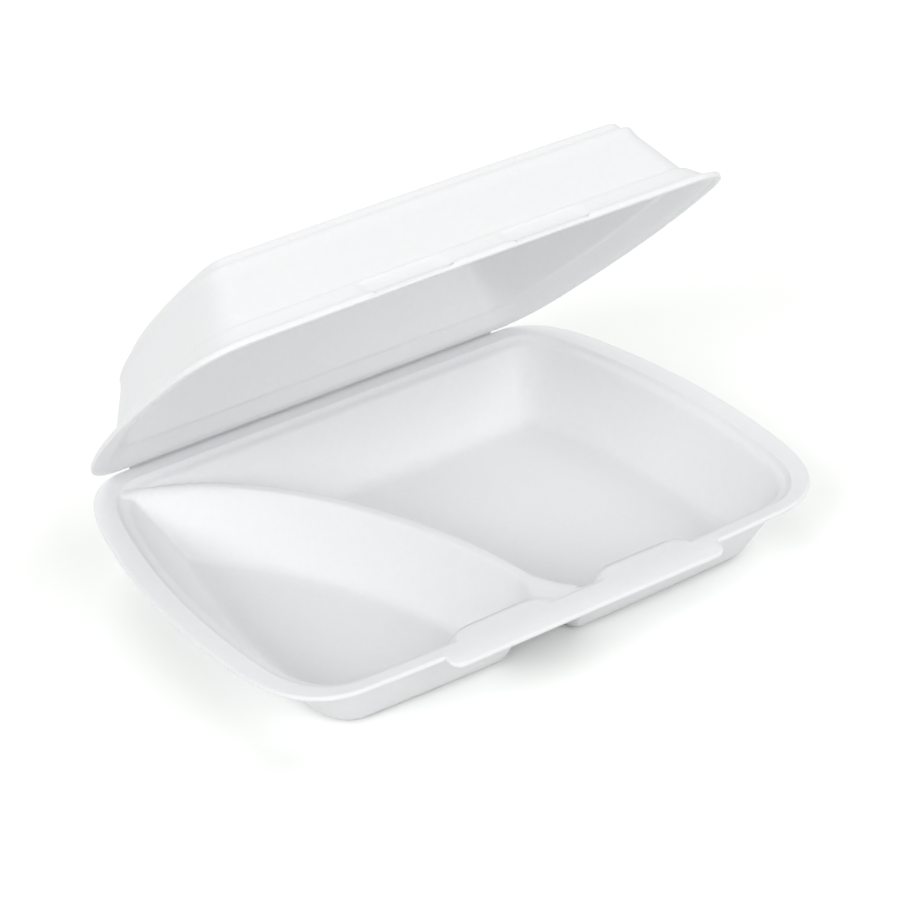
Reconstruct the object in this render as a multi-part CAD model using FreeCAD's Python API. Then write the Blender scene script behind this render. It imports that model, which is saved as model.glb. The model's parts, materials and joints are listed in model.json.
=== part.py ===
# Foam clamshell container: a tray with two compartments and a lid that folds open at the back.
# Each half is one thin foam sheet pressed to shape. Millimetres, x along the hinge, y from the
# front to the hinge, z up. The halves are drawn closed, with the tray's rim at z = 0. The lid is
# then opened, and the pair is stood on z = 0 with the middle of its footprint at the origin.

import FreeCAD, Part
import math
import os
from FreeCAD import Vector

# Foam sheet
SHEET = 2.4                # thickness of the pressed walls
RIM_SHEET = 2.0            # thickness of the flange, squeezed thinner where it was cut
EDGE_EASE = 0.6            # easing of the flange's cut edge

# Rim outline of the tray, between the corners that its sides would meet in
RIM_FRONT = 222.0          # width across the front corners
RIM_REAR = 207.5           # width across the hinge corners
RIM_DEPTH = 189.0          # front corners to the hinge
SIDE_BOW = 12.3            # how far each side swells out at its middle
FRONT_BOW = 3.2            # how far the front swells out at its middle
FRONT_CORNER_ACROSS = 24.5
FRONT_CORNER_ALONG = 37.0
REAR_CORNER_ACROSS = 17.5
REAR_CORNER_ALONG = 35.0
CORNER_TAPER = 1.4         # how fast the corners tighten as an outline is drawn in

# Tray: flange, ledge, walls and floor
TRAY_DEPTH = 27.0          # rim to the compartments' floor
FLANGE_SIDE = 6.5          # flat flange along the sides
FLANGE_FRONT = 5.0         # flat flange along the front
FLANGE_REAR = 8.5          # flat flange along the hinge
LEDGE_DROP = 1.6           # step down from the flange to the ledge
LEDGE_RUN = 1.2            # width of that step
LEDGE_WIDTH = 2.6          # width of the ledge
LEDGE_FALL = 0.3           # its slope down to the walls
WALL_LEAN = 0.56           # how far a wall leans in for each mm down
REAR_SPREAD = 1.35         # the hinge wall leans in this much more than the others
LEDGE_EASE = 0.7
LIP_EASE = 1.8
FLOOR_EASE = 4.5

# Divider between the compartments: a curved ridge, open underneath
RIDGE_DROP = 0.8           # crest below the rim
RIDGE_HALF = 2.2           # half of the crest's width
RIDGE_LEAN = 0.52          # how far each flank leans out for each mm down
RIDGE_CREST_EASE = 1.8
RIDGE_FOOT_EASE = 6.5
RIDGE_DIP = 1.0            # how far its foot is drawn below the floor, to cross it cleanly
RIDGE_LANDING = 7.5        # extra half-width where the ridge lands on the front flange
RIDGE_LANDING_RUN = 20.0   # length over which it narrows again
RIDGE_START = Vector(-7.0, 9.0, 0)
RIDGE_START_PULL = Vector(-8.0, 70.0, 0)
RIDGE_END_PULL = Vector(-40.0, 151.0, 0)
RIDGE_END = Vector(-83.0, 170.0, 0)
RIDGE_OVERRUN = 34.0       # how far the ridge is drawn on past both ends, into the walls
RIDGE_SPANS = 10

# Latch pads, two swellings of the front flange, and the apron in front of them
PAD_NEAR = 10.0            # from the middle of the front to a pad's near end
PAD_FAR = 50.0             # and to its far end
PAD_REACH = 2.8            # how far a pad stands in from the flange's inner edge
PAD_LEAN = 0.4             # how far a pad spreads for each mm down
PAD_CORNER = 8.0
APRON_HALF = 57.0          # half-length of the apron
APRON_REACH = 9.0          # how far it stands out from the rim
APRON_CORNER = 7.5
APRON_ROOT = 2.2           # how far its sheet runs in under the flange
APRON_FALL = 0.14          # its slope down towards the front

# Lid, from its rim up
LID_SET_BACK = 4.2         # its rim lies this far inside the tray's, apart from the hinge
LID_SIDE_SPREAD = 1.12     # its side walls lean in this much more than the front and back
LIP_REACH = 3.8            # nearly flat lip that rests on the tray's flange
LIP_RISE = 0.9
SKIRT_REACH = 4.6          # flared skirt above the lip
SKIRT_RISE = 5.3
SKIRT_STEP = 1.3           # small ledge between the skirt and the wall
SKIRT_STEP_RISE = 0.5
LID_WALL_RISE = 18.0
LID_WALL_LEAN = 0.41
SHOULDER_REACH = 0.6       # upright band above the wall
SHOULDER_RISE = 3.7
TOP_LEDGE = 2.3            # narrow ledge round the top panel
TOP_LEDGE_RISE = 0.8
PANEL_REACH = 1.0          # step from that ledge up to the panel
PANEL_RISE = 3.0
LID_CORNER_TAPER = 1.9     # its corners tighten faster than the tray's do
LID_SOFT_EASE = 1.8        # easing of the lid's broad corners
LID_CRISP_EASE = 0.9       # easing of its narrow ledges
LATCH_NEAR = 12.5          # from the middle to a latch recess's near end
LATCH_FAR = 44.0           # and to its far end
LATCH_DEPTH = 1.0          # how far the lip and the skirt are pressed in there

# Hinge
HINGE_GAP = 0.3            # clearance between the two rims, closed and at the fold
OPEN_ANGLE = 38.0          # how far the lid stands open

EASE_SPAN = 1.1            # easing that gets one more span round a profile's corner
CAP = 4.0                  # how far a tool is drawn past the sheet that it cuts


def between(start, end, share):
    """The point a share of the way from start to end."""
    return tuple(a + (b - a) * share for a, b in zip(start, end))


def heading(start, end):
    """The unit direction from one profile vertex to the next."""
    length = math.dist(start[:2], end[:2])
    return (end[0] - start[0]) / length, (end[1] - start[1]) / length


def moved_square(vertices, skin):
    """The profile's vertices moved square to its runs by skin, to the sheet's other face."""
    moved = []
    for i, vertex in enumerate(vertices):
        arrive = heading(vertices[max(i - 1, 0)], vertices[max(i, 1)])
        leave = heading(vertices[min(i, len(vertices) - 2)], vertices[min(i + 1, len(vertices) - 1)])
        facing = 1 + arrive[0] * leave[0] + arrive[1] * leave[1]
        growth = vertex[0] + skin * (arrive[1] + leave[1]) / facing
        height = vertex[1] - skin * (arrive[0] + leave[0]) / facing
        turn = (arrive[0] * leave[1] - arrive[1] * leave[0]) / facing
        moved.append((growth, height, max(vertex[2] + skin * turn, EDGE_EASE / 2)))
    return moved


def eased(vertices):
    """Profile points through (growth, height, ease), each inner vertex eased by a curve."""
    points = [vertices[0][:2]]
    for before, vertex, after in zip(vertices, vertices[1:], vertices[2:]):
        corner = vertex[:2]
        arrive = math.dist(corner, before[:2])
        leave = math.dist(corner, after[:2])
        ease = min(vertex[2], 0.45 * arrive, 0.45 * leave)
        enter = between(corner, before[:2], ease / arrive)
        depart = between(corner, after[:2], ease / leave)
        spans = max(1, round(ease / EASE_SPAN))
        for step in range(spans + 1):
            share = step / spans
            points.append(between(between(enter, corner, share), between(corner, depart, share), share))
    return points


def bowed_side(start, end, bow):
    """A shallow curve between two corners that swells out by bow at its middle."""
    chord = end - start
    outward = Vector(chord.y, -chord.x, 0).normalize()
    side = Part.BezierCurve()
    side.setPoles([start, (start + end) * 0.5 + outward * (2 * bow), end])
    return side


def corner_curve(first, second):
    """The curve from the end of one side to the start of the next, tangent to both."""
    start = first.value(1)
    end = second.value(0)
    out = first.tangent(1)[0]
    back = second.tangent(0)[0]
    across = end - start
    reach = (across.x * back.y - across.y * back.x) / (out.x * back.y - out.y * back.x)
    corner = Part.BezierCurve()
    corner.setPoles([start, start + out * reach, end])
    return corner


def eased_loop(corners, bows, trims, z):
    """A closed wire through counter-clockwise (x, y) corners, trimmed (before, after) each."""
    count = len(corners)
    sides = []
    for i in range(count):
        start = Vector(*corners[i], z)
        end = Vector(*corners[(i + 1) % count], z)
        length = (end - start).Length
        side = bowed_side(start, end, bows[i])
        side.segment(trims[i][1] / length, 1 - trims[(i + 1) % count][0] / length)
        sides.append(side)
    edges = []
    for i in range(count):
        edges.append(sides[i].toShape())
        edges.append(corner_curve(sides[i], sides[(i + 1) % count]).toShape())
    return Part.Wire(edges)


def rim_loop(side_in, front_in, rear_in, z, taper=CORNER_TAPER):
    """The rim's outline drawn in by an inset at the sides, the front and the hinge."""
    front = RIM_FRONT / 2 - side_in
    rear = RIM_REAR / 2 - side_in
    hinge = RIM_DEPTH - rear_in
    corners = [(-front, front_in), (front, front_in), (rear, hinge), (-rear, hinge)]
    side_bow = SIDE_BOW * ((hinge - front_in) / RIM_DEPTH) ** 2
    front_bow = FRONT_BOW * (2 * front / RIM_FRONT) ** 2
    front_share = math.exp(-taper * side_in / FRONT_CORNER_ALONG)
    rear_share = math.exp(-taper * side_in / REAR_CORNER_ALONG)
    front_trim = (FRONT_CORNER_ACROSS * front_share, FRONT_CORNER_ALONG * front_share)
    rear_trim = (REAR_CORNER_ALONG * rear_share, REAR_CORNER_ACROSS * rear_share)
    trims = [front_trim[::-1], front_trim, rear_trim, rear_trim[::-1]]
    return eased_loop(corners, [front_bow, side_bow, 0, side_bow], trims, z)


def pressed(points, starts, spreads, taper=CORNER_TAPER):
    """A solid lofted through the rim's outline, drawn in by each point of a profile."""
    loops = []
    for growth, height in points:
        insets = [start + growth * spread for start, spread in zip(starts, spreads)]
        loops.append(rim_loop(*insets, height, taper))
    return Part.makeLoft(loops, True, True)


def rim_plate():
    """The flat flange sheet, over the whole rim, with its cut edge eased."""
    levels = [(EDGE_EASE, -RIM_SHEET), (0, EDGE_EASE - RIM_SHEET), (0, -EDGE_EASE), (EDGE_EASE, 0)]
    loops = [rim_loop(inset, inset, inset, z) for inset, z in levels]
    return Part.makeLoft(loops, True, True)


def apron():
    """The tab along the front of the flange, which falls a little towards its edge."""
    front = -FRONT_BOW - APRON_REACH
    root = APRON_ROOT - FRONT_BOW
    corners = [(-APRON_HALF, front), (APRON_HALF, front), (APRON_HALF, root), (-APRON_HALF, root)]
    round_corner = (APRON_CORNER, APRON_CORNER)
    root_corner = (EDGE_EASE, EDGE_EASE)
    outline = eased_loop(corners, [0, 0, 0, 0], [round_corner, round_corner, root_corner, root_corner], -CAP)
    block = Part.Face(outline).extrude(Vector(0, 0, 2 * CAP))
    fall = APRON_FALL * (root - front)
    section = [Vector(-APRON_HALF - CAP, root, 0), Vector(-APRON_HALF - CAP, front, -fall),
               Vector(-APRON_HALF - CAP, front, -fall - RIM_SHEET), Vector(-APRON_HALF - CAP, root, -RIM_SHEET)]
    sheet = Part.Face(Part.makePolygon(section + section[:1]))
    return block.common(sheet.extrude(Vector(2 * (APRON_HALF + CAP), 0, 0)))


def basin_form(skin):
    """Ledge, walls and floor as one basin; skin carries it to the sheet's outer face."""
    wall_top = LEDGE_RUN + LEDGE_WIDTH
    floor = wall_top + WALL_LEAN * (TRAY_DEPTH - LEDGE_DROP)
    vertices = [(0, 0, 0), (LEDGE_RUN, -LEDGE_DROP, LEDGE_EASE), (wall_top, -LEDGE_DROP - LEDGE_FALL, LIP_EASE),
                (floor, -TRAY_DEPTH, FLOOR_EASE), (floor + 3 * FLOOR_EASE, -TRAY_DEPTH, 0)]
    points = eased(moved_square(vertices, skin))
    return pressed(points, (FLANGE_SIDE, FLANGE_FRONT, FLANGE_REAR), (1, 1, REAR_SPREAD))


def ridge_edge(line, half, z, hand):
    """One long edge of the ridge at height z, half a width to one hand of its middle line."""
    points = []
    for i in range(RIDGE_SPANS + 1):
        along = (i / RIDGE_SPANS) ** 1.4
        tangent = line.tangent(along)[0]
        square = Vector(tangent.y, -tangent.x, 0) * hand
        run = line.length(0, along) if i else 0
        landing = RIDGE_LANDING * max(0, 1 - run / RIDGE_LANDING_RUN) ** 2
        points.append(line.value(along) + square * (half + landing) + Vector(0, 0, z))
    points.insert(0, points[0] - line.tangent(0)[0] * RIDGE_OVERRUN)
    points.append(points[-1] + line.tangent(1)[0] * RIDGE_OVERRUN)
    edge = Part.BSplineCurve()
    edge.interpolate(points if hand > 0 else points[::-1])
    return edge.toShape()


def ridge_form(skin):
    """The divider; skin shrinks it to the channel that is open under the sheet."""
    line = Part.BezierCurve()
    line.setPoles([RIDGE_START, RIDGE_START_PULL, RIDGE_END_PULL, RIDGE_END])
    foot = RIDGE_HALF + RIDGE_LEAN * (TRAY_DEPTH + RIDGE_DIP - RIDGE_DROP)
    vertices = [(0, -RIDGE_DROP, 0), (RIDGE_HALF, -RIDGE_DROP, RIDGE_CREST_EASE),
                (foot, -TRAY_DEPTH - RIDGE_DIP, RIDGE_FOOT_EASE),
                (foot + 2 * RIDGE_FOOT_EASE, -TRAY_DEPTH - 2 * RIDGE_DIP, 0)]
    loops = []
    for half, z in eased(moved_square(vertices, skin))[1:]:
        right = ridge_edge(line, half, z, 1)
        left = ridge_edge(line, half, z, -1)
        rear = Part.makeLine(right.lastVertex().Point, left.firstVertex().Point)
        front = Part.makeLine(left.lastVertex().Point, right.firstVertex().Point)
        loops.append(Part.Wire([right, rear, left, front]))
    return Part.makeLoft(loops, True, True)


def pad_form(hand, skin):
    """One latch pad; skin shrinks it to the hollow behind the sheet."""
    depth = PAD_REACH / (WALL_LEAN - PAD_LEAN) + SHEET
    outer = (EDGE_EASE, EDGE_EASE)
    inner = (PAD_CORNER, PAD_CORNER)
    loops = []
    for z in (-depth, CAP):
        lean = -PAD_LEAN * z - skin
        near = PAD_NEAR - lean
        far = PAD_FAR + lean
        reach = FLANGE_FRONT + PAD_REACH + lean
        left, right = (near, far) if hand > 0 else (-far, -near)
        corners = [(left, -CAP), (right, -CAP), (right, reach), (left, reach)]
        loops.append(eased_loop(corners, [0, 0, 0, 0], [outer, outer, inner, inner], z))
    return Part.makeLoft(loops, True, True)


def pressed_tray(skin):
    """Everything pressed into the tray's sheet, as the solid below one of its faces."""
    form = basin_form(skin).cut(ridge_form(skin))
    for hand in (-1, 1):
        form = form.cut(pad_form(hand, skin))
    return form


def base_tray():
    """The tray: flange and apron, with the compartments pressed down from them."""
    sheet = pressed_tray(SHEET).fuse([rim_plate(), apron()])
    return sheet.cut(pressed_tray(0))


def lid_profile():
    """The lid's outer face, from its lip to the edge of its top panel."""
    runs = [(LIP_REACH, LIP_RISE, LID_SOFT_EASE),
            (SKIRT_REACH, SKIRT_RISE, LID_CRISP_EASE),
            (SKIRT_STEP, SKIRT_STEP_RISE, LID_CRISP_EASE / 2),
            (LID_WALL_LEAN * LID_WALL_RISE, LID_WALL_RISE, LID_SOFT_EASE),
            (SHOULDER_REACH, SHOULDER_RISE, LID_SOFT_EASE),
            (TOP_LEDGE, TOP_LEDGE_RISE, LID_CRISP_EASE),
            (PANEL_REACH, PANEL_RISE, LID_SOFT_EASE),
            (3 * LID_SOFT_EASE, 0, 0)]
    vertices = [(0, RIM_SHEET, EDGE_EASE)]
    for reach, rise, ease in runs:
        growth, height, _ = vertices[-1]
        vertices.append((growth + reach, height + rise, ease))
    return vertices


def lid_form(vertices):
    """The lid's face through the vertices of a profile, as the solid below it."""
    return pressed(eased(vertices), (LID_SET_BACK, LID_SET_BACK, 0), (LID_SIDE_SPREAD, 1, 1), LID_CORNER_TAPER)


def latch_recess(hand, outer):
    """The shallow dent over one latch, pressed square into the lip and the skirt."""
    front = LID_SET_BACK - FRONT_BOW
    block = Part.makeBox(LATCH_FAR - LATCH_NEAR, LIP_REACH + SKIRT_REACH + CAP, RIM_SHEET + LIP_RISE + SKIRT_RISE)
    block.translate(Vector(LATCH_NEAR if hand > 0 else -LATCH_FAR, front - CAP, 0))
    return block.cut(lid_form([(LATCH_DEPTH, -CAP, 0)] + moved_square(outer, LATCH_DEPTH)))


def lid():
    """The lid, closed: lip, skirt, wall and raised panel, standing a clearance above the rim."""
    outer = lid_profile()
    shell = lid_form([(0, 0, 0)] + outer).cut(lid_form(moved_square(outer, SHEET)))
    for hand in (-1, 1):
        shell = shell.cut(latch_recess(hand, outer))
    shell.translate(Vector(0, 0, HINGE_GAP))
    return shell


def main():
    tray = base_tray()
    cover = lid()
    cover.rotate(Vector(0, RIM_DEPTH + HINGE_GAP / 2, HINGE_GAP / 2), Vector(1, 0, 0), -OPEN_ANGLE)
    box = tray.optimalBoundingBox(False, False)
    box.add(cover.optimalBoundingBox(False, False))
    stand = Vector(-box.Center.x, -box.Center.y, TRAY_DEPTH + SHEET)
    os.makedirs("parts", exist_ok=True)
    for name, shape in (("base_tray", tray), ("lid", cover)):
        solid = shape.Solids[0]
        solid.translate(stand)
        solid.exportStep("parts/" + name + ".step")


main()
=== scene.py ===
# Foam clamshell container: the looks. The sheet's two halves are drawn smooth from the same sizes
# as the solids, in millimetres, with y = 0 at the tray's front corners and z = 0 at its rim, and
# then moved into the frame.

import bpy
import json
import math
import numpy as np
from mathutils import Matrix, Vector
from mathutils.geometry import delaunay_2d_cdt

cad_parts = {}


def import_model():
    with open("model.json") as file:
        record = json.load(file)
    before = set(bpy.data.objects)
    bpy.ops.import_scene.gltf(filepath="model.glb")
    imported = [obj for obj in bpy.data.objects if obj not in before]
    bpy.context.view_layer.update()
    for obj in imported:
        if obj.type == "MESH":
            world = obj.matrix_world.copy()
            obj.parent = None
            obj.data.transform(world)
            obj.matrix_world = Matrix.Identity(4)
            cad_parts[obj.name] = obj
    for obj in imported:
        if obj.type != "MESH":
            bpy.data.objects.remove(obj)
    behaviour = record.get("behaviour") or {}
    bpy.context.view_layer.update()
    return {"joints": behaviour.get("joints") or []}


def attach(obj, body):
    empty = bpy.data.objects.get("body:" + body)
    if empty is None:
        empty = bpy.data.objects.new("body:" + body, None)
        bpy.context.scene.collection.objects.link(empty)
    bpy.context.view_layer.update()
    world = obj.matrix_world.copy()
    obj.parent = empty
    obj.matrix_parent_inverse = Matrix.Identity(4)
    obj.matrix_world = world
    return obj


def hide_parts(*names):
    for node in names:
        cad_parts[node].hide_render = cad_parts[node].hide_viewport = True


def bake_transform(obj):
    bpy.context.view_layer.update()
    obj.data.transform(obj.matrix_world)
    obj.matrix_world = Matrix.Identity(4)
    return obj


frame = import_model()

MM = 0.001

# Foam sheet
SHEET = 2.4
RIM_SHEET = 2.0
EDGE_EASE = 0.6
EDGE_TURN = 0.3            # share of that easing where its rounding has its middle ring

# Rim outline of the tray
RIM_FRONT = 222.0
RIM_REAR = 207.5
RIM_DEPTH = 189.0
SIDE_BOW = 12.3
FRONT_BOW = 3.2
FRONT_CORNER_ACROSS = 24.5
FRONT_CORNER_ALONG = 37.0
REAR_CORNER_ACROSS = 17.5
REAR_CORNER_ALONG = 35.0
CORNER_TAPER = 1.4

# Tray
TRAY_DEPTH = 27.0
FLANGE_SIDE = 6.5
FLANGE_FRONT = 5.0
FLANGE_REAR = 8.5
LEDGE_DROP = 1.6
LEDGE_RUN = 1.2
LEDGE_WIDTH = 2.6
LEDGE_FALL = 0.3
WALL_LEAN = 0.56
REAR_SPREAD = 1.35
LEDGE_EASE = 1.0
STEP_EASE = 0.3            # easing of the step's upper edge
UNDER_EASE = 0.5           # and of the wall's outer face under the flange
LIP_EASE = 1.8
FLOOR_EASE = 4.5

# Divider
RIDGE_DROP = 0.8
RIDGE_HALF = 2.2
RIDGE_LEAN = 0.52
RIDGE_CREST_EASE = 1.8
RIDGE_FOOT_EASE = 6.5
RIDGE_DIP = 1.0
RIDGE_LANDING = 7.5
RIDGE_LANDING_RUN = 20.0
RIDGE_LINE = [(-7.0, 9.0), (-8.0, 70.0), (-40.0, 151.0), (-83.0, 170.0)]
RIDGE_OVERRUN = 34.0
RIDGE_SOFT = 1.6           # how softly the divider runs into the walls

# Latch pads and apron
PAD_NEAR = 10.0
PAD_FAR = 50.0
PAD_REACH = 4.6
PAD_LEAN = 0.4
PAD_CORNER = 8.0
PAD_SOFT = 0.5
APRON_HALF = 57.0
APRON_REACH = 5.5
APRON_CORNER = 4.5
APRON_FALL = 0.14
APRON_ROOT = 0.9           # where its slope begins, in from the flange's cut edge

# Lid
LID_SET_BACK = 4.2
LID_SIDE_SPREAD = 1.12
LIP_REACH = 3.8
LIP_RISE = 0.9
SKIRT_REACH = 4.6
SKIRT_RISE = 5.3
SKIRT_STEP = 1.3
SKIRT_STEP_RISE = 0.5
LID_WALL_RISE = 18.0
LID_WALL_LEAN = 0.41
SHOULDER_REACH = 0.6
SHOULDER_RISE = 3.7
TOP_LEDGE = 2.3
TOP_LEDGE_RISE = 0.8
PANEL_REACH = 1.0
PANEL_RISE = 3.0
LID_CORNER_TAPER = 1.9
LID_SOFT_EASE = 1.8
LID_CRISP_EASE = 0.9
LATCH_NEAR = 12.5
LATCH_FAR = 44.0
LATCH_DEPTH = 1.0
LATCH_SOFT = 1.2           # length over which a dent's ends fade
LATCH_FADE = 1.0           # height over which it fades at the skirt's top

# Hinge
HINGE_GAP = 0.3
OPEN_ANGLE = math.radians(38.0)

# Mesh density
RING_SIDE = 110            # spans along one side of a ring
RING_CORNER = 36           # spans round one corner of a ring
# Spans along half of the front: up to the apron, along its flank, round its corner, along its edge
APRON_SPANS = (18, 4, 10, 23)
EASE_STEPS = 5
RUN_STEP = 2.0             # longest span across a straight run of a profile
FLOOR_STEP = 4.0           # spacing of the floor's points
RIDGE_STEP = 1.6           # spacing along the divider

# Squeezed fold between the halves
FOLD_SHEET = 0.7
FOLD_STEPS = 24
FOLD_OVERLAP = 1.0         # how far it runs on into the rounded corners

# Foam and floor; texture scales are per metre
CELL_SCALE = 900
GRAIN_SCALE = 420
WAVE_SCALE = 55
FOAM_DARK = (0.865, 0.87, 0.88, 1)
FOAM_LIGHT = (0.90, 0.905, 0.912, 1)
FLOOR_SEEN = (1.16, 1.175, 1.155, 1)
FLOOR_LIT = (0.85, 0.85, 0.85, 1)
FLOOR_HALF = 1.3           # metres
SKY_LIT = 0.42

# The fold's axis in the drawing, and where the drawing's origin lies in the frame
FOLD = Vector((0, RIM_DEPTH + HINGE_GAP / 2, HINGE_GAP / 2))
REST = Vector(frame["joints"][0]["pos_m"]) / MM - FOLD


def between(start, end, share):
    """The point a share of the way from start to end."""
    return tuple(a + (b - a) * share for a, b in zip(start, end))


def heading(start, end):
    """The unit direction from one profile vertex to the next."""
    length = math.dist(start[:2], end[:2])
    return (end[0] - start[0]) / length, (end[1] - start[1]) / length


def moved_square(vertices, skin):
    """The profile's vertices moved square to its runs by skin, to the sheet's other face."""
    moved = []
    for i, vertex in enumerate(vertices):
        arrive = heading(vertices[max(i - 1, 0)], vertices[max(i, 1)])
        leave = heading(vertices[min(i, len(vertices) - 2)], vertices[min(i + 1, len(vertices) - 1)])
        facing = 1 + arrive[0] * leave[0] + arrive[1] * leave[1]
        growth = vertex[0] + skin * (arrive[1] + leave[1]) / facing
        height = vertex[1] - skin * (arrive[0] + leave[0]) / facing
        turn = (arrive[0] * leave[1] - arrive[1] * leave[0]) / facing
        moved.append((growth, height, max(vertex[2] + skin * turn, EDGE_EASE / 2)))
    return moved


def eased(vertices):
    """Closely spaced profile points through (growth, height, ease), each inner vertex eased."""
    points = [vertices[0][:2]]
    for before, vertex, after in zip(vertices, vertices[1:], vertices[2:]):
        corner = vertex[:2]
        arrive = math.dist(corner, before[:2])
        leave = math.dist(corner, after[:2])
        ease = min(vertex[2], 0.45 * arrive, 0.45 * leave)
        enter = between(corner, before[:2], ease / arrive)
        depart = between(corner, after[:2], ease / leave)
        run = max(1, math.ceil(math.dist(points[-1], enter) / RUN_STEP))
        points.extend(between(points[-1], enter, step / run) for step in range(1, run))
        for step in range(EASE_STEPS + 1):
            share = step / EASE_STEPS
            points.append(between(between(enter, corner, share), between(corner, depart, share), share))
    return points


def quadratic(a, b, c, shares):
    """Points of the quadratic curve with control points a, b and c."""
    shares = np.asarray(shares)[:, None]
    return (1 - shares) ** 2 * a + 2 * shares * (1 - shares) * b + shares ** 2 * c


def rim_ring(side_in, front_in, rear_in, taper=CORNER_TAPER):
    """Points round the rim's outline, drawn in at the sides, the front and the hinge."""
    front = RIM_FRONT / 2 - side_in
    rear = RIM_REAR / 2 - side_in
    hinge = RIM_DEPTH - rear_in
    corners = np.array([(-front, front_in), (front, front_in), (rear, hinge), (-rear, hinge)])
    side_bow = SIDE_BOW * ((hinge - front_in) / RIM_DEPTH) ** 2
    front_bow = FRONT_BOW * (2 * front / RIM_FRONT) ** 2
    front_share = math.exp(-taper * side_in / FRONT_CORNER_ALONG)
    rear_share = math.exp(-taper * side_in / REAR_CORNER_ALONG)
    front_trim = (FRONT_CORNER_ACROSS * front_share, FRONT_CORNER_ALONG * front_share)
    rear_trim = (REAR_CORNER_ALONG * rear_share, REAR_CORNER_ACROSS * rear_share)
    trims = [front_trim[::-1], front_trim, rear_trim, rear_trim[::-1]]
    bows = [front_bow, side_bow, 0, side_bow]
    sides = []
    for i in range(4):
        start, end = corners[i], corners[(i + 1) % 4]
        chord = end - start
        length = np.linalg.norm(chord)
        outward = np.array([chord[1], -chord[0]]) / length
        middle = (start + end) / 2 + outward * 2 * bows[i]
        shares = np.linspace(trims[i][1] / length, 1 - trims[(i + 1) % 4][0] / length, RING_SIDE + 1)
        points = quadratic(start, middle, end, shares)
        tangents = [np.array(between(middle - start, end - middle, share)) for share in shares[[0, -1]]]
        sides.append((points, tangents))
    ring = []
    for i in range(4):
        points, tangents = sides[i]
        after, after_tangents = sides[(i + 1) % 4]
        out, back = tangents[1], after_tangents[0]
        across = after[0] - points[-1]
        reach = (across[0] * back[1] - across[1] * back[0]) / (out[0] * back[1] - out[1] * back[0])
        ring.append(points[:-1])
        ring.append(quadratic(points[-1], points[-1] + out * reach, after[0],
                              np.arange(RING_CORNER) / RING_CORNER))
    return np.vstack(ring)


def rings(profile, starts, spreads, taper=CORNER_TAPER):
    """One ring of (x, y, z) points for each point of a profile."""
    made = []
    for growth, height in profile:
        plan = rim_ring(*(start + growth * spread for start, spread in zip(starts, spreads)), taper)
        made.append(np.column_stack([plan, np.full(len(plan), height)]))
    return made


def ridge_line():
    """Points along the divider's middle line, with how far along each lies from its front end."""
    poles = np.array(RIDGE_LINE)
    t = np.linspace(0, 1, 301)[:, None]
    curve = ((1 - t) ** 3 * poles[0] + 3 * t * (1 - t) ** 2 * poles[1]
             + 3 * t ** 2 * (1 - t) * poles[2] + t ** 3 * poles[3])
    front = (poles[0] - poles[1]) / np.linalg.norm(poles[0] - poles[1])
    rear = (poles[3] - poles[2]) / np.linalg.norm(poles[3] - poles[2])
    line = np.vstack([poles[0] + front * RIDGE_OVERRUN, curve, poles[3] + rear * RIDGE_OVERRUN])
    runs = np.concatenate([[0], np.cumsum(np.linalg.norm(np.diff(line, axis=0), axis=1))]) - RIDGE_OVERRUN
    return line, runs


def ridge_profile(skin):
    """Half-widths and heights of the divider's section."""
    foot = RIDGE_HALF + RIDGE_LEAN * (TRAY_DEPTH + RIDGE_DIP - RIDGE_DROP)
    vertices = [(0, -RIDGE_DROP, 0), (RIDGE_HALF, -RIDGE_DROP, RIDGE_CREST_EASE),
                (foot, -TRAY_DEPTH - RIDGE_DIP, RIDGE_FOOT_EASE),
                (foot + 2 * RIDGE_FOOT_EASE, -TRAY_DEPTH - 2 * RIDGE_DIP, 0)]
    moved = moved_square(vertices, skin)
    return np.array(eased(moved) + [moved[-1][:2]])


def ridge_height(plan, skin):
    """Height of the divider over each (x, y) point."""
    line, runs = ridge_line()
    nearest = np.full(len(plan), np.inf)
    along = np.zeros(len(plan))
    for start, end, run in zip(line, line[1:], runs):
        chord = end - start
        length = np.linalg.norm(chord)
        share = np.clip((plan - start) @ chord / length ** 2, 0, 1)
        away = np.linalg.norm(plan - start - share[:, None] * chord, axis=1)
        closer = away < nearest
        nearest = np.where(closer, away, nearest)
        along = np.where(closer, run + share * length, along)
    landing = RIDGE_LANDING * np.clip(1 - np.maximum(along, 0) / RIDGE_LANDING_RUN, 0, 1) ** 2
    profile = ridge_profile(skin)
    return np.interp(np.maximum(nearest - landing, 0), profile[:, 0], profile[:, 1])


def pad_height(plan, skin):
    """Height of the two latch pads over each (x, y) point."""
    half = (PAD_FAR - PAD_NEAR) / 2 - skin - PAD_CORNER
    middle = (PAD_FAR + PAD_NEAR) / 2
    across = np.abs(np.abs(plan[:, 0]) - middle) - half
    inward = plan[:, 1] - (FLANGE_FRONT + PAD_REACH - skin - PAD_CORNER)
    corner = np.hypot(np.maximum(across, 0), np.maximum(inward, 0))
    within = np.minimum(np.maximum(across, inward), 0)
    beyond = np.maximum(corner + within - PAD_CORNER, 0)
    return -(np.hypot(beyond, PAD_SOFT) - PAD_SOFT) / PAD_LEAN


def soft_max(a, b, soft):
    """The higher of two surfaces, with a fillet where they cross."""
    overlap = np.maximum(soft - np.abs(a - b), 0) / soft
    return np.maximum(a, b) + overlap ** 2 * soft / 4


def tray_height(points, skin):
    """The pressed sheet's height over points that carry the basin's height."""
    plan = points[:, :2]
    height = soft_max(points[:, 2], ridge_height(plan, skin), RIDGE_SOFT)
    height = soft_max(height, pad_height(plan, skin), RIDGE_SOFT / 2)
    ceiling = -RIM_SHEET if skin else 0.0
    return np.column_stack([plan, np.minimum(height, ceiling)])


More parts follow.
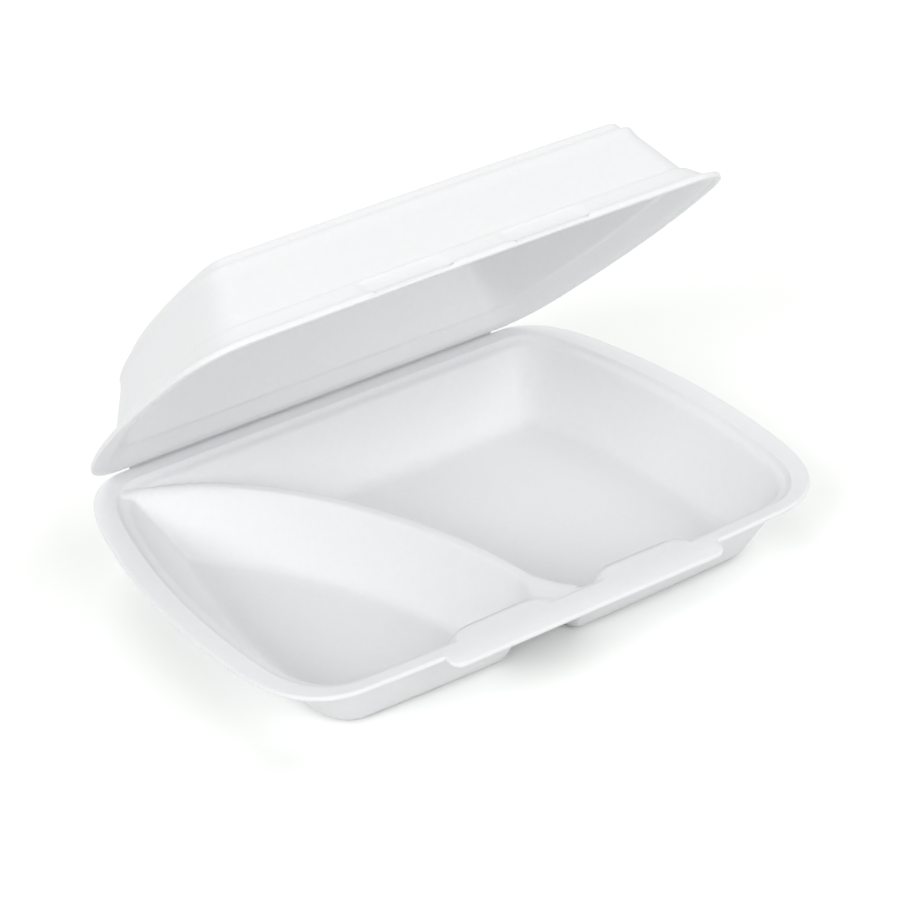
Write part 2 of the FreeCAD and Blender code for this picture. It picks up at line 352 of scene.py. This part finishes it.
def floor_points(edge, depth):
    """Points over the flat floor inside a ring: a plain lattice and rows along the divider."""
    low, high = edge[:, :2].min(0), edge[:, :2].max(0)
    xs = np.arange(low[0], high[0], FLOOR_STEP)
    ys = np.arange(low[1], high[1], FLOOR_STEP)
    lattice = np.array([(x, y) for x in xs for y in ys])
    line, runs = ridge_line()
    stations = np.arange(runs[0], runs[-1], RIDGE_STEP)
    middle = np.column_stack([np.interp(stations, runs, line[:, 0]), np.interp(stations, runs, line[:, 1])])
    tangent = np.gradient(middle, axis=0)
    square = np.column_stack([tangent[:, 1], -tangent[:, 0]]) / np.linalg.norm(tangent, axis=1)[:, None]
    halves = ridge_profile(0)[:, 0]
    halves = halves[halves < halves[-1]]
    rows = np.array(sorted(set(np.round(np.concatenate([-halves, halves]), 3))))
    beside = (middle[:, None] + square[:, None] * rows[None, :, None]).reshape(-1, 2)
    away = np.min(np.linalg.norm(lattice[:, None] - middle[None, ::3], axis=2), axis=1)
    plan = np.vstack([lattice[away > rows[-1] + FLOOR_STEP / 2], beside])
    plan = plan[inside(plan, edge[:, :2])]
    return np.column_stack([plan, np.full(len(plan), -depth)])


def inside(plan, edge):
    """Which points lie inside a closed outline, a little away from it."""
    x, y = plan[:, 0][:, None], plan[:, 1][:, None]
    x0, y0 = edge[:, 0], edge[:, 1]
    x1, y1 = np.roll(x0, -1), np.roll(y0, -1)
    crosses = (y0 > y) != (y1 > y)
    slope = (x1 - x0) / np.where(y1 == y0, 1, y1 - y0)
    odd = (np.sum(crosses & (x < x0 + (y - y0) * slope), axis=1) % 2) == 1
    away = np.min(np.hypot(x - x0, y - y0), axis=1)
    return odd & (away > 0.8)


def ring_faces(count, size, flip):
    """Quads between successive rings of one size."""
    faces = []
    for level in range(count - 1):
        for i in range(size):
            j = (i + 1) % size
            a, b = level * size + i, level * size + j
            quad = (a, b, b + size, a + size)
            faces.append(quad[::-1] if flip else quad)
    return faces


def fill(edge, extra, first_edge, first_extra, flip):
    """Triangles over a ring and the loose points inside it."""
    plan = [Vector(p[:2]) for p in edge] + [Vector(p[:2]) for p in extra]
    loop = [(i, (i + 1) % len(edge)) for i in range(len(edge))]
    _, _, triangles, source, _, _ = delaunay_2d_cdt(plan, loop, [], 1, 1e-6)
    faces = []
    for triangle in triangles:
        indices = []
        for vertex in triangle:
            origin = source[vertex][0]
            indices.append(first_edge + origin if origin < len(edge) else first_extra + origin - len(edge))
        faces.append(tuple(indices[::-1] if flip else indices))
    return faces


def mesh_piece(name, points, faces, turned=False):
    """A smooth mesh from points of the drawing, put into the frame."""
    mesh = bpy.data.meshes.new(name)
    mesh.from_pydata([Vector(p) for p in points], [], faces)
    place = Matrix.Translation(REST)
    if turned:
        opened = Matrix.Rotation(-OPEN_ANGLE, 4, "X")
        place = place @ Matrix.Translation(FOLD) @ opened @ Matrix.Translation(-FOLD)
    mesh.transform(Matrix.Scale(MM, 4) @ place)
    mesh.shade_smooth()
    mesh.validate()
    piece = bpy.data.objects.new(name, mesh)
    bpy.context.scene.collection.objects.link(piece)
    return piece


def round_apron(ring, inset):
    """A ring of the flange led out round the apron, and where the flange's own front line lay."""
    to_apron, flank_spans, corner_spans, edge_spans = APRON_SPANS
    side = ring[:RING_SIDE]
    half = APRON_HALF - inset
    corner = APRON_CORNER - inset
    front = inset - FRONT_BOW - APRON_REACH
    turns = np.linspace(0, math.pi / 2, corner_spans + 1)[:-1]
    xs = np.linspace(side[0, 0], -half, to_apron + 1)[:-1]
    root = np.interp(-half, side[:, 0], side[:, 1])
    flank = np.linspace(root, front + corner, flank_spans + 1)[:-1]
    along = np.linspace(corner - half, 0, edge_spans + 1)
    left = np.vstack([
        np.column_stack([xs, np.interp(xs, side[:, 0], side[:, 1])]),
        np.column_stack([np.full(flank_spans, -half), flank]),
        np.column_stack([corner * (1 - np.cos(turns)) - half, front + corner * (1 - np.sin(turns))]),
        np.column_stack([along, np.full(len(along), front)])])
    path = np.vstack([left, left[-2:0:-1] * (-1, 1)])
    line = np.interp(-np.abs(path[:, 0]), side[:, 0], side[:, 1])
    height = side[:, 2] - APRON_FALL * np.maximum(line - path[:, 1], 0)
    return np.vstack([np.column_stack([path, height]), ring[RING_SIDE:]]), line


def flange_rings(profile):
    """Rings of the flange, each with the flange's own front line."""
    plain = rings(profile, (0, 0, 0), (1, 1, 1))
    return [round_apron(ring, growth) for ring, (growth, _) in zip(plain, profile)]


def rim_edge(near, far):
    """Rings round the flange's cut edge from its middle to one face, and the apron's root."""
    ease = math.copysign(EDGE_EASE, near - far)
    turn = [(0, (near + far) / 2), (0, near - ease),
            (EDGE_EASE * EDGE_TURN, near - ease * EDGE_TURN), (EDGE_EASE, near)]
    edge = [ring for ring, _ in flange_rings(turn)]
    root, line = flange_rings([(APRON_ROOT, near)])[0]
    root[:RING_SIDE, 1] = np.maximum(root[:RING_SIDE, 1], line)
    root[:, 2] = near
    return edge + [root]


def tray_face(skin):
    """Rings and loose floor points of one face of the tray's sheet."""
    wall_top = LEDGE_RUN + LEDGE_WIDTH
    floor = wall_top + WALL_LEAN * (TRAY_DEPTH - LEDGE_DROP)
    vertices = [(0, 0, 0), (LEDGE_RUN, -LEDGE_DROP, LEDGE_EASE),
                (wall_top, -LEDGE_DROP - LEDGE_FALL, LIP_EASE),
                (floor, -TRAY_DEPTH, FLOOR_EASE), (floor + 2 * FLOOR_EASE, -TRAY_DEPTH, 0)]
    if skin:
        profile = [point for point in eased(moved_square(vertices, skin)) if point[1] < -RIM_SHEET]
        profile.insert(0, (profile[0][0] - UNDER_EASE, -RIM_SHEET))
    else:
        profile = eased([(-STEP_EASE - 0.1, 0, 0), (0, 0, STEP_EASE)] + vertices[1:])
    starts = (FLANGE_SIDE, FLANGE_FRONT, FLANGE_REAR)
    basin = rings(profile, starts, (1, 1, REAR_SPREAD))
    faces = (0, -RIM_SHEET)
    return rim_edge(*(faces[::-1] if skin else faces)), basin


def tray_sheet():
    """Both faces of the tray's sheet, joined round the flange's cut edge."""
    points = []
    faces = []
    size = 4 * (RING_SIDE + RING_CORNER)
    for skin in (0, SHEET):
        edge, basin = tray_face(skin)
        loose = floor_points(basin[-1], TRAY_DEPTH + skin)
        first = len(points)
        count = len(edge) + len(basin)
        flip = bool(skin)
        faces += [tuple(first + v for v in face) for face in ring_faces(count, size, flip)]
        faces += fill(basin[-1], loose, first + (count - 1) * size, first + count * size, flip)
        points.extend(np.vstack(edge))
        points.extend(tray_height(np.vstack(basin + [loose]), skin))
    return mesh_piece("tray_sheet", points, faces)


def lid_vertices():
    """The lid's outer face, from its lip to the edge of its top panel."""
    runs = [(LIP_REACH, LIP_RISE, LID_SOFT_EASE),
            (SKIRT_REACH, SKIRT_RISE, LID_CRISP_EASE),
            (SKIRT_STEP, SKIRT_STEP_RISE, LID_CRISP_EASE / 2),
            (LID_WALL_LEAN * LID_WALL_RISE, LID_WALL_RISE, LID_SOFT_EASE),
            (SHOULDER_REACH, SHOULDER_RISE, LID_SOFT_EASE),
            (TOP_LEDGE, TOP_LEDGE_RISE, LID_CRISP_EASE),
            (PANEL_REACH, PANEL_RISE, LID_SOFT_EASE),
            (3 * LID_SOFT_EASE, 0, 0)]
    vertices = [(0, RIM_SHEET, EDGE_EASE)]
    for reach, rise, ease in runs:
        growth, height, _ = vertices[-1]
        vertices.append((growth + reach, height + rise, ease))
    return vertices


def dented(profile, first):
    """The profile with its lip and skirt pressed in by the latch dent's depth."""
    top = RIM_SHEET + LIP_RISE + SKIRT_RISE
    pressed = list(profile[:first])
    nexts = profile[first + 1:] + profile[-1:]
    for before, point, after in zip(profile[first - 1:], profile[first:], nexts):
        run = heading(before, after) if before != after else (1, 0)
        depth = LATCH_DEPTH * min(1, max(0, (top - point[1]) / LATCH_FADE))
        pressed.append((point[0] + depth * abs(run[1]), point[1] - depth * run[0] * (point[1] > RIM_SHEET)))
    return pressed


def latch_share(ring):
    """How much of the latch dents' depth each point of a ring takes."""
    across = np.abs(ring[:, 0])
    ends = np.minimum(across - LATCH_NEAR, LATCH_FAR - across) / LATCH_SOFT
    share = np.clip(ends + 0.5, 0, 1) * (ring[:, 1] < RIM_DEPTH / 4)
    return (share * share * (3 - 2 * share))[:, None]


def lid_sheet():
    """Both faces of the lid's sheet, joined round its lip, with the latch dents pressed in."""
    outer = lid_vertices()
    inner = [point for point in eased(moved_square(outer, SHEET)) if point[1] > 0]
    lip = [(inner[0][0] - 0.2, 0, 0), (EDGE_EASE / 2, 0, EDGE_EASE / 2), (0, EDGE_EASE / 2, EDGE_EASE / 2)]
    profile = inner[::-1] + eased(lip + outer)
    starts = (LID_SET_BACK, LID_SET_BACK, 0)
    spreads = (LID_SIDE_SPREAD, 1, 1)
    stack = rings(profile, starts, spreads, LID_CORNER_TAPER)
    pressed = rings(dented(profile, len(inner)), starts, spreads, LID_CORNER_TAPER)
    stack = [ring + latch_share(ring) * (dent - ring) for ring, dent in zip(stack, pressed)]
    size = len(stack[0])
    points = np.vstack(stack)
    points[:, 2] += HINGE_GAP
    faces = ring_faces(len(stack), size, False)
    faces += fill(stack[0], [], 0, 0, True)
    faces += fill(stack[-1], [], (len(stack) - 1) * size, 0, False)
    return mesh_piece("lid_sheet", points, faces, turned=True)


def hinge_fold():
    """The squeezed strip of sheet that joins the two halves, curled round the outside of the fold."""
    tray_end = Vector((0, -HINGE_GAP / 2, -RIM_SHEET / 2 - HINGE_GAP / 2))
    lid_end = Matrix.Rotation(-OPEN_ANGLE, 3, "X") @ Vector((0, tray_end.y, -tray_end.z))
    first = math.atan2(tray_end.z, tray_end.y)
    last = math.atan2(lid_end.z, lid_end.y)
    bend = np.linspace(first, last, FOLD_STEPS + 1)
    outer, inner = tray_end.length + FOLD_SHEET / 2, tray_end.length - FOLD_SHEET / 2
    radii = np.concatenate([np.full(len(bend), outer), np.full(len(bend), inner)])
    angles = np.concatenate([bend, bend[::-1]])
    section = np.column_stack([FOLD.y + radii * np.cos(angles), FOLD.z + radii * np.sin(angles)])
    half = RIM_REAR / 2 - LID_SET_BACK - REAR_CORNER_ACROSS + FOLD_OVERLAP
    stack = []
    for x in np.linspace(-half, half, RING_SIDE + 1):
        stack.append(np.column_stack([np.full(len(section), x), section]))
    count = len(section)
    faces = ring_faces(len(stack), count, False)
    faces.append(tuple(range(count)))
    faces.append(tuple(range((len(stack) - 1) * count, len(stack) * count))[::-1])
    return mesh_piece("hinge_fold", np.vstack(stack), faces), tray_end, lid_end


def foam():
    """White foam sheet: matte, its pressed skin faintly mottled by the cells under it."""
    material = bpy.data.materials.new("foam")
    material.use_nodes = True
    nodes, links = material.node_tree.nodes, material.node_tree.links
    shader = nodes["Principled BSDF"]
    shader.inputs["Subsurface Weight"].default_value = 0.25
    shader.inputs["Subsurface Radius"].default_value = (1.0, 0.95, 0.9)
    shader.inputs["Subsurface Scale"].default_value = 0.002
    shader.inputs["Specular IOR Level"].default_value = 0.35
    place = nodes.new("ShaderNodeTexCoord")
    cells = nodes.new("ShaderNodeTexVoronoi")
    cells.inputs["Scale"].default_value = CELL_SCALE
    grain = nodes.new("ShaderNodeTexNoise")
    grain.inputs["Scale"].default_value = GRAIN_SCALE
    grain.inputs["Detail"].default_value = 3
    waves = nodes.new("ShaderNodeTexNoise")
    waves.inputs["Scale"].default_value = WAVE_SCALE
    waves.inputs["Detail"].default_value = 1
    for texture in (cells, grain, waves):
        links.new(place.outputs["Object"], texture.inputs["Vector"])
    tint = nodes.new("ShaderNodeMix")
    tint.data_type = "RGBA"
    tint.inputs["A"].default_value = FOAM_DARK
    tint.inputs["B"].default_value = FOAM_LIGHT
    links.new(grain.outputs["Fac"], tint.inputs["Factor"])
    links.new(tint.outputs["Result"], shader.inputs["Base Color"])
    gloss = nodes.new("ShaderNodeMapRange")
    gloss.inputs["To Min"].default_value = 0.5
    gloss.inputs["To Max"].default_value = 0.68
    links.new(grain.outputs["Fac"], gloss.inputs["Value"])
    links.new(gloss.outputs["Result"], shader.inputs["Roughness"])
    swell = nodes.new("ShaderNodeBump")
    swell.inputs["Strength"].default_value = 0.25
    swell.inputs["Distance"].default_value = 0.0006
    links.new(waves.outputs["Fac"], swell.inputs["Height"])
    pits = nodes.new("ShaderNodeBump")
    pits.inputs["Strength"].default_value = 0.3
    pits.inputs["Distance"].default_value = 0.00008
    links.new(cells.outputs["Distance"], pits.inputs["Height"])
    links.new(swell.outputs["Normal"], pits.inputs["Normal"])
    links.new(pits.outputs["Normal"], shader.inputs["Normal"])
    return material


def seen_rays(nodes, links):
    """1 for the rays that show the surroundings: straight, reflected or through something clear."""
    rays = nodes.new("ShaderNodeLightPath")
    seen = rays.outputs["Is Camera Ray"]
    for kind in ("Is Glossy Ray", "Is Transmission Ray"):
        either = nodes.new("ShaderNodeMath")
        either.operation = "MAXIMUM"
        links.new(seen, either.inputs[0])
        links.new(rays.outputs[kind], either.inputs[1])
        seen = either.outputs[0]
    return seen


def stage():
    """A white floor that keeps the object's shadow; the camera sees it brighter than light does."""
    floor = bpy.data.meshes.new("floor")
    corners = [(-FLOOR_HALF, -FLOOR_HALF, 0), (FLOOR_HALF, -FLOOR_HALF, 0),
               (FLOOR_HALF, FLOOR_HALF, 0), (-FLOOR_HALF, FLOOR_HALF, 0)]
    floor.from_pydata(corners, [], [(0, 1, 2, 3)])
    piece = bpy.data.objects.new("floor", floor)
    bpy.context.scene.collection.objects.link(piece)
    material = bpy.data.materials.new("floor")
    material.use_nodes = True
    nodes, links = material.node_tree.nodes, material.node_tree.links
    seen = nodes.new("ShaderNodeBsdfDiffuse")
    seen.inputs["Color"].default_value = FLOOR_SEEN
    lit = nodes.new("ShaderNodeBsdfDiffuse")
    lit.inputs["Color"].default_value = FLOOR_LIT
    choose = nodes.new("ShaderNodeMixShader")
    links.new(seen_rays(nodes, links), choose.inputs["Fac"])
    links.new(lit.outputs["BSDF"], choose.inputs[1])
    links.new(seen.outputs["BSDF"], choose.inputs[2])
    links.new(choose.outputs["Shader"], nodes["Material Output"].inputs["Surface"])
    piece.data.materials.append(material)


# Camera solved from the photo's outlines, in the drawing's millimetres
CAMERA_FOCAL = 2814.11     # pixels, on a picture 900 wide
CAMERA_AZIMUTH = math.radians(-28.44)
CAMERA_ELEVATION = math.radians(29.43)
CAMERA_ROLL = math.radians(-6.57)
CAMERA_DISTANCE = 1055.45
CAMERA_TARGET = Vector((0, 100, 0))
CAMERA_ASIDE = 6.76
CAMERA_ABOVE = 12.65


def camera():
    """The photo's camera, whose picture centre lies a little aside of the target."""
    back = Vector((math.sin(CAMERA_AZIMUTH) * math.cos(CAMERA_ELEVATION),
                   -math.cos(CAMERA_AZIMUTH) * math.cos(CAMERA_ELEVATION), math.sin(CAMERA_ELEVATION)))
    right = (-back).cross(Vector((0, 0, 1))).normalized()
    up = right.cross(-back)
    rolled_right = right * math.cos(CAMERA_ROLL) + up * math.sin(CAMERA_ROLL)
    rolled_up = -right * math.sin(CAMERA_ROLL) + up * math.cos(CAMERA_ROLL)
    eye = CAMERA_TARGET + back * CAMERA_DISTANCE + rolled_right * CAMERA_ASIDE + rolled_up * CAMERA_ABOVE
    data = bpy.data.cameras.new("camera")
    data.sensor_width = 36
    data.lens = CAMERA_FOCAL * 36 / 900
    piece = bpy.data.objects.new("camera", data)
    turn = Matrix((rolled_right, rolled_up, back)).transposed().to_4x4()
    piece.matrix_world = Matrix.Translation((eye + REST) * MM) @ turn
    bpy.context.scene.collection.objects.link(piece)
    bpy.context.scene.camera = piece


def light(name, place, size, power):
    """A round lamp that faces the object."""
    data = bpy.data.lights.new(name, "AREA")
    data.shape = "DISK"
    data.size = size
    data.energy = power
    piece = bpy.data.objects.new(name, data)
    facing = Vector(place).to_track_quat("Z", "Y").to_matrix().to_4x4()
    piece.matrix_world = Matrix.Translation(place) @ facing
    bpy.context.scene.collection.objects.link(piece)


def world():
    """Plain surroundings that look white and light the object at a lower level."""
    surroundings = bpy.data.worlds.new("world")
    surroundings.use_nodes = True
    nodes, links = surroundings.node_tree.nodes, surroundings.node_tree.links
    lit = nodes["Background"]
    seen = nodes.new("ShaderNodeBackground")
    for background, strength in ((lit, SKY_LIT), (seen, 1.0)):
        background.inputs["Color"].default_value = (1, 1, 1, 1)
        background.inputs["Strength"].default_value = strength
    choose = nodes.new("ShaderNodeMixShader")
    links.new(seen_rays(nodes, links), choose.inputs["Fac"])
    links.new(lit.outputs["Background"], choose.inputs[1])
    links.new(seen.outputs["Background"], choose.inputs[2])
    links.new(choose.outputs["Shader"], nodes["World Output"].inputs["Surface"])
    bpy.context.scene.world = surroundings


white = foam()
tray = tray_sheet()
tray.data.materials.append(white)
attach(tray, "base")
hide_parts("base_tray")
cover = lid_sheet()
cover.data.materials.append(white)
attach(cover, "lid")
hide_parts("lid")

fold, tray_end, lid_end = hinge_fold()
fold.data.materials.append(white)
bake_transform(fold)

stage()
camera()
light("front", (0.3, -1.9, 0.9), 1.2, 10.9)
light("left", (-1.7, -0.9, 1.2), 1.2, 19.5)
light("right", (1.7, -0.5, 1.4), 1.2, 9.3)
light("back", (0.1, 1.5, 1.4), 1.2, 9.5)
world()
bpy.context.scene.view_settings.view_transform = "Standard"
